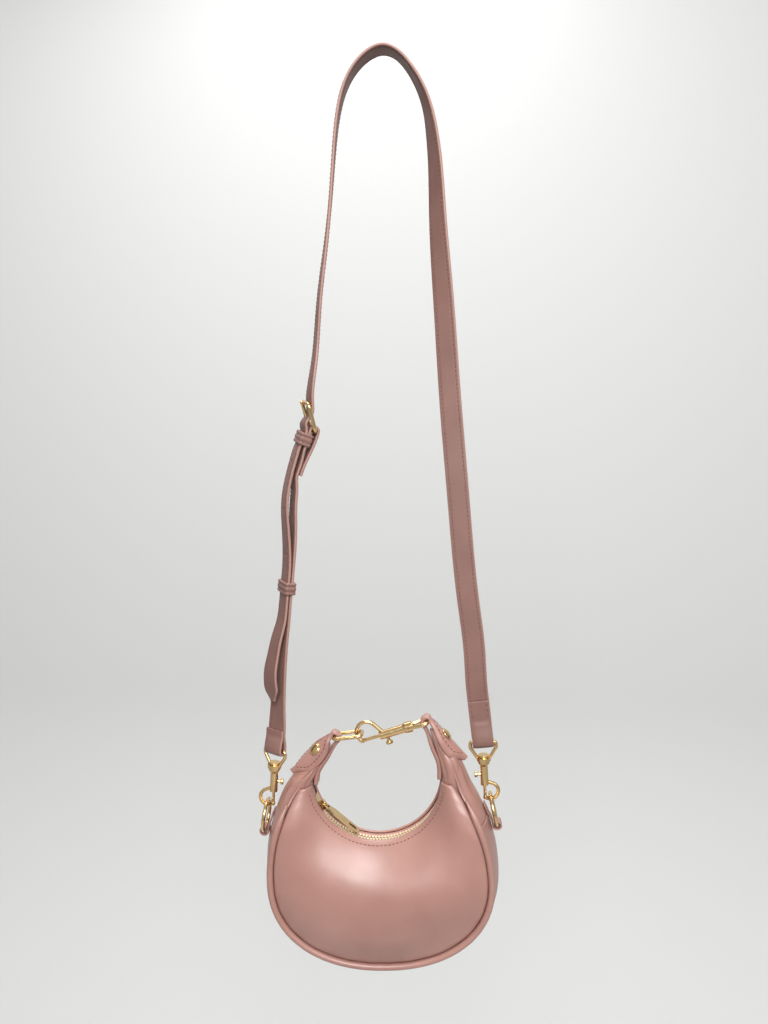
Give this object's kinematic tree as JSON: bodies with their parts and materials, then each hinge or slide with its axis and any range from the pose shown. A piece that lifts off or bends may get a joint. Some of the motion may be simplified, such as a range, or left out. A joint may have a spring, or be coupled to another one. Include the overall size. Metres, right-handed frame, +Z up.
{
  "type": "crossbody purse",
  "caption": "Small crescent purse in soft leather with a curved zip, a short linked handle, snap hooks and a long buckled shoulder strap.",
  "frame": {"origin": "inner face of the strap at the top of its loop, where a hook or a shoulder carries the bag", "axes": "+Z up, -Y towards the front of the purse, +X to the right seen from the front"},
  "size_m": [0.1813, 0.067, 0.6557],
  "materials": {
    "bag_leather": "soft smooth semi-gloss, dusty pink",
    "strap_leather": "smooth semi-gloss, dusty pink with painted edges",
    "lining": "plain woven",
    "zip_tape": "woven, pale pink",
    "gold_hardware": "polished light gold plating",
    "spring_steel": "bright drawn wire"
  },
  "bodies": {
    "strap": {"strap_long": "strap_leather", "strap_short": "strap_leather", "keeper_fixed": "strap_leather"},
    "keeper": {"keeper_sliding": "strap_leather"},
    "buckle": {"buckle_frame": "gold_hardware"},
    "tongue": {"buckle_tongue": "gold_hardware"},
    "purse": {"front_panel": "bag_leather", "back_panel": "bag_leather", "gusset_lower": "bag_leather", "gusset_upper_left": "bag_leather", "gusset_upper_right": "bag_leather", "front_piping": "bag_leather", "back_piping": "bag_leather", "lining": "lining", "zip_tape_front": "zip_tape", "zip_tape_back": "zip_tape", "zip_teeth_front": "gold_hardware", "zip_teeth_back": "gold_hardware", "zip_stops": "gold_hardware", "handle_tab_left": "bag_leather", "handle_tab_right": "bag_leather", "tab_stud_left": "gold_hardware", "tab_stud_right": "gold_hardware", "ring_tab_left": "bag_leather", "ring_tab_right": "bag_leather"},
    "zip_slider": {"zip_slider": "gold_hardware"},
    "zip_pull": {"zip_pull": "gold_hardware"},
    "ring_left": {"side_ring_left": "gold_hardware"},
    "ring_right": {"side_ring_right": "gold_hardware"},
    "eye_left": {"side_eye_left": "gold_hardware"},
    "hook_left": {"side_hook_left": "gold_hardware", "side_rivet_left": "gold_hardware", "side_spring_left": "spring_steel"},
    "bolt_left": {"side_bolt_left": "gold_hardware"},
    "eye_right": {"side_eye_right": "gold_hardware"},
    "hook_right": {"side_hook_right": "gold_hardware", "side_rivet_right": "gold_hardware", "side_spring_right": "spring_steel"},
    "bolt_right": {"side_bolt_right": "gold_hardware"},
    "link": {"chain_link": "gold_hardware"},
    "clasp_eye": {"clasp_eye": "gold_hardware"},
    "clasp": {"clasp_hook": "gold_hardware", "clasp_rivet": "gold_hardware", "clasp_spring": "spring_steel"},
    "clasp_bolt": {"clasp_bolt": "gold_hardware"}
  },
  "joints": [
    {"name": "eye_left_swing", "type": "hinge", "parent": "strap", "child": "eye_left", "pos_m": [-0.08056, 0, -0.49173], "axis": [0.8817, -0.4695, -0.0462], "range_deg": [-1.5, 1.5]},
    {"name": "hook_left_swivel", "type": "hinge", "parent": "eye_left", "child": "hook_left", "pos_m": [-0.08056, 0, -0.49173], "axis": [0.0523, 0, 0.9986], "range_deg": [-10, 10]},
    {"name": "bolt_left_slide", "type": "slide", "parent": "hook_left", "child": "bolt_left", "axis": [0.0523, 0, 0.9986], "range_m": [0, 0.0036], "stiffness_N_per_m": 180, "springref_m": -0.002, "deforming": ["side_spring_left"]},
    {"name": "eye_right_swing", "type": "hinge", "parent": "strap", "child": "eye_right", "pos_m": [0.07316, 0, -0.4816], "axis": [-0.9986, 0, -0.0523], "range_deg": [-1.5, 1.5]},
    {"name": "hook_right_swivel", "type": "hinge", "parent": "eye_right", "child": "hook_right", "pos_m": [0.07316, 0, -0.4816], "axis": [-0.0523, 0, 0.9986], "range_deg": [-10, 10]},
    {"name": "bolt_right_slide", "type": "slide", "parent": "hook_right", "child": "bolt_right", "axis": [-0.0523, 0, 0.9986], "range_m": [0, 0.0036], "stiffness_N_per_m": 180, "springref_m": -0.002, "deforming": ["side_spring_right"]},
    {"name": "purse_swing", "type": "hinge", "parent": "strap", "child": "purse", "pos_m": [-0.0037, 0, -0.52996], "axis": [0.9981, 0, 0.0611], "range_deg": [-45, 45]},
    {"name": "ring_left_lean", "type": "hinge", "parent": "purse", "child": "ring_left", "pos_m": [-0.08916, 0, -0.55437], "axis": [0, 1, 0], "range_deg": [-2, 2]},
    {"name": "ring_right_lean", "type": "hinge", "parent": "purse", "child": "ring_right", "pos_m": [0.0841, 0, -0.54378], "axis": [0, 1, 0], "range_deg": [-2, 2]},
    {"name": "zip_travel", "type": "hinge", "parent": "purse", "child": "zip_slider", "pos_m": [-0.005, 0, -0.5087], "axis": [0, -1, 0], "range_deg": [0, 95]},
    {"name": "zip_pull_turn", "type": "hinge", "parent": "zip_slider", "child": "zip_pull", "pos_m": [-0.0441, 0, -0.53313], "axis": [0, -1, 0], "range_deg": [0, 110]},
    {"name": "chain_link_turn", "type": "hinge", "parent": "purse", "child": "link", "pos_m": [-0.03625, 0, -0.48106], "axis": [0, -1, 0], "range_deg": [-4, 4]},
    {"name": "clasp_eye_turn", "type": "hinge", "parent": "purse", "child": "clasp_eye", "pos_m": [0.03255, 0, -0.46743], "axis": [0, 1, 0], "range_deg": [-1.5, 1.5]},
    {"name": "clasp_swivel", "type": "hinge", "parent": "clasp_eye", "child": "clasp", "pos_m": [0.03255, 0, -0.46743], "axis": [-0.9472, 0, -0.3206], "range_deg": [-15, 15]},
    {"name": "clasp_bolt_slide", "type": "slide", "parent": "clasp", "child": "clasp_bolt", "axis": [0.9472, 0, 0.3206], "range_m": [0, 0.004], "stiffness_N_per_m": 180, "springref_m": -0.002, "deforming": ["clasp_spring"]},
    {"name": "buckle_tilt", "type": "hinge", "parent": "strap", "child": "buckle", "pos_m": [-0.0506, 0, -0.2554], "axis": [0.3765, -0.9161, -0.1382], "range_deg": [0, 6]},
    {"name": "tongue_lift", "type": "hinge", "parent": "buckle", "child": "tongue", "pos_m": [-0.0506, 0, -0.2554], "axis": [0.3765, -0.9161, -0.1382], "range_deg": [0, 6]},
    {"name": "keeper_slide", "type": "slide", "parent": "strap", "child": "keeper", "axis": [-0.0995, 0, -0.995], "range_m": [-0.006, 0.006]}
  ]
}
